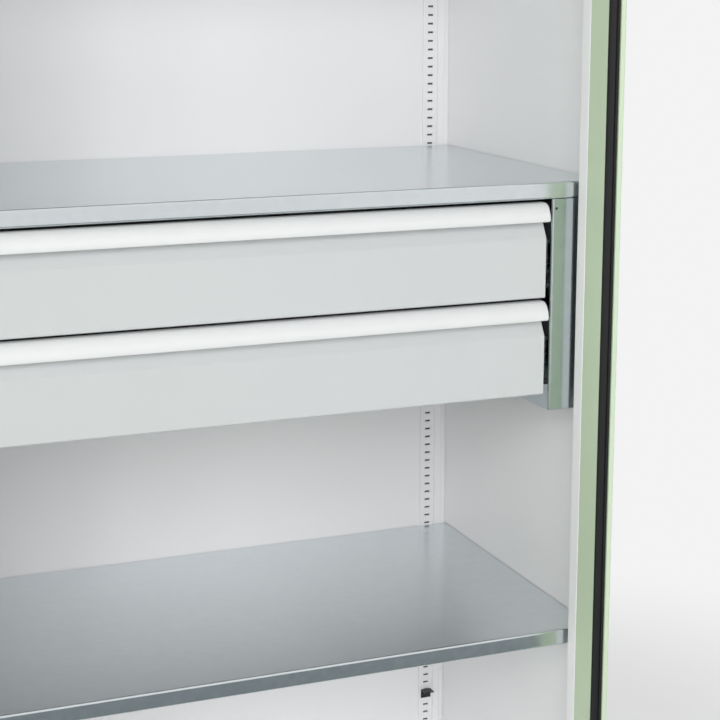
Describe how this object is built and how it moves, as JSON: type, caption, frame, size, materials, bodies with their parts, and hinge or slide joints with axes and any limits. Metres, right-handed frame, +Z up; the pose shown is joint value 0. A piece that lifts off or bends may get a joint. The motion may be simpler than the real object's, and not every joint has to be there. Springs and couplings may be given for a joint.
{
  "type": "heavy-duty storage cabinet",
  "caption": "Tall sheet-steel storage cabinet with adjustable galvanised shelves, a hanging drawer unit and a sealed overlay door with a rod lock.",
  "frame": {"origin": "on the floor, in the middle of the front plinth rail, in the plane of the shelves' front edges", "axes": "+X to the cabinet's right seen from the front, +Y to its back, +Z up"},
  "size_m": [1.0149, 1.438, 1.95],
  "materials": {
    "carcase_grey": "satin powder coat, light grey",
    "plinth_dark": "satin powder coat, light grey",
    "door_green": "satin powder coat, pale green",
    "seal_rubber": "matt black",
    "zinc": "galvanised sheet",
    "clip_zinc": "zinc plated",
    "clip_black": "black",
    "drawer_grey": "satin powder coat, pale grey",
    "handle_light": "satin, near white",
    "slide_steel": "bright zinc",
    "hinge_grey": "satin powder coat",
    "hinge_green": "satin powder coat",
    "screw_steel": "zinc plated",
    "black_plastic": "matt black",
    "plug_chrome": "polished"
  },
  "bodies": {
    "carcase": {"side_left": "carcase_grey", "side_right": "carcase_grey", "back_panel": "carcase_grey", "top_panel": "carcase_grey", "floor_panel": "carcase_grey", "plinth_front": "plinth_dark", "plinth_rear": "plinth_dark", "plinth_left": "plinth_dark", "plinth_right": "plinth_dark", "collar_left": "door_green", "collar_right": "door_green", "collar_top": "door_green", "collar_bottom": "door_green", "seal": "seal_rubber", "upright_rear_right": "carcase_grey", "upright_rear_left": "carcase_grey", "upright_front_right": "carcase_grey", "upright_front_left": "carcase_grey", "top_shelf": "zinc", "upper_shelf": "zinc", "lower_shelf": "zinc", "shelf_clips": "clip_zinc", "spare_clip": "clip_black", "drawer_housing_right": "zinc", "drawer_housing_left": "zinc", "drawer_housing_tie": "zinc", "drawer_housing_screws": "screw_steel", "slide_outer_members": "slide_steel", "hinge_frame_halves": "hinge_grey", "hinge_pins": "screw_steel"},
    "door": {"door_skin": "door_green", "door_stiffeners": "door_green", "hinge_leaf_halves": "hinge_green", "lock_case": "clip_zinc", "lock_case_screws": "screw_steel", "lock_bush": "black_plastic", "lock_escutcheon": "black_plastic", "rod_guides": "black_plastic"},
    "grip": {"lock_grip": "black_plastic", "lock_spindle": "screw_steel"},
    "key_plug": {"lock_key_plug": "plug_chrome"},
    "rod_top": {"lock_rod_top": "screw_steel"},
    "rod_bottom": {"lock_rod_bottom": "screw_steel"},
    "upper_drawer": {"upper_drawer_tray": "drawer_grey", "upper_drawer_front": "drawer_grey", "upper_drawer_handle": "handle_light", "upper_drawer_handle_caps": "handle_light", "upper_slide_inner_members": "slide_steel"},
    "upper_slide": {"upper_slide_middle_members": "slide_steel"},
    "lower_drawer": {"lower_drawer_tray": "drawer_grey", "lower_drawer_front": "drawer_grey", "lower_drawer_handle": "handle_light", "lower_drawer_handle_caps": "handle_light", "lower_slide_inner_members": "slide_steel"},
    "lower_slide": {"lower_slide_middle_members": "slide_steel"}
  },
  "joints": [
    {"name": "door_swing", "type": "hinge", "parent": "carcase", "child": "door", "pos_m": [-0.472, -0.0295, 1.025], "axis": [0, 0, -1], "range_deg": [-90, 90]},
    {"name": "grip_turn", "type": "hinge", "parent": "door", "child": "grip", "pos_m": [-0.5, -0.8655, 1.05], "axis": [-1, 0, 0], "range_deg": [0, 90]},
    {"name": "key_turn", "type": "hinge", "parent": "grip", "child": "key_plug", "pos_m": [-0.5, -0.8655, 1.05], "axis": [-1, 0, 0], "range_deg": [0, 90]},
    {"name": "rod_top_slide", "type": "slide", "parent": "door", "child": "rod_top", "axis": [0, 0, 1], "range_m": [0, 0.018]},
    {"name": "rod_bottom_slide", "type": "slide", "parent": "door", "child": "rod_bottom", "axis": [0, 0, -1], "range_m": [0, 0.018]},
    {"name": "upper_drawer_slide", "type": "slide", "parent": "carcase", "child": "upper_drawer", "axis": [0, -1, 0], "range_m": [0, 0.4]},
    {"name": "upper_middle_slide", "type": "slide", "parent": "carcase", "child": "upper_slide", "axis": [0, -1, 0], "range_m": [0, 0.2]},
    {"name": "lower_drawer_slide", "type": "slide", "parent": "carcase", "child": "lower_drawer", "axis": [0, -1, 0], "range_m": [0, 0.4]},
    {"name": "lower_middle_slide", "type": "slide", "parent": "carcase", "child": "lower_slide", "axis": [0, -1, 0], "range_m": [0, 0.2]}
  ],
  "couplings": [
    {"joint": "grip_turn", "follows": "rod_top_slide", "rad_per_m": 87.266},
    {"joint": "rod_bottom_slide", "follows": "rod_top_slide", "ratio": 1},
    {"joint": "upper_middle_slide", "follows": "upper_drawer_slide", "ratio": 0.5},
    {"joint": "lower_middle_slide", "follows": "lower_drawer_slide", "ratio": 0.5}
  ]
}
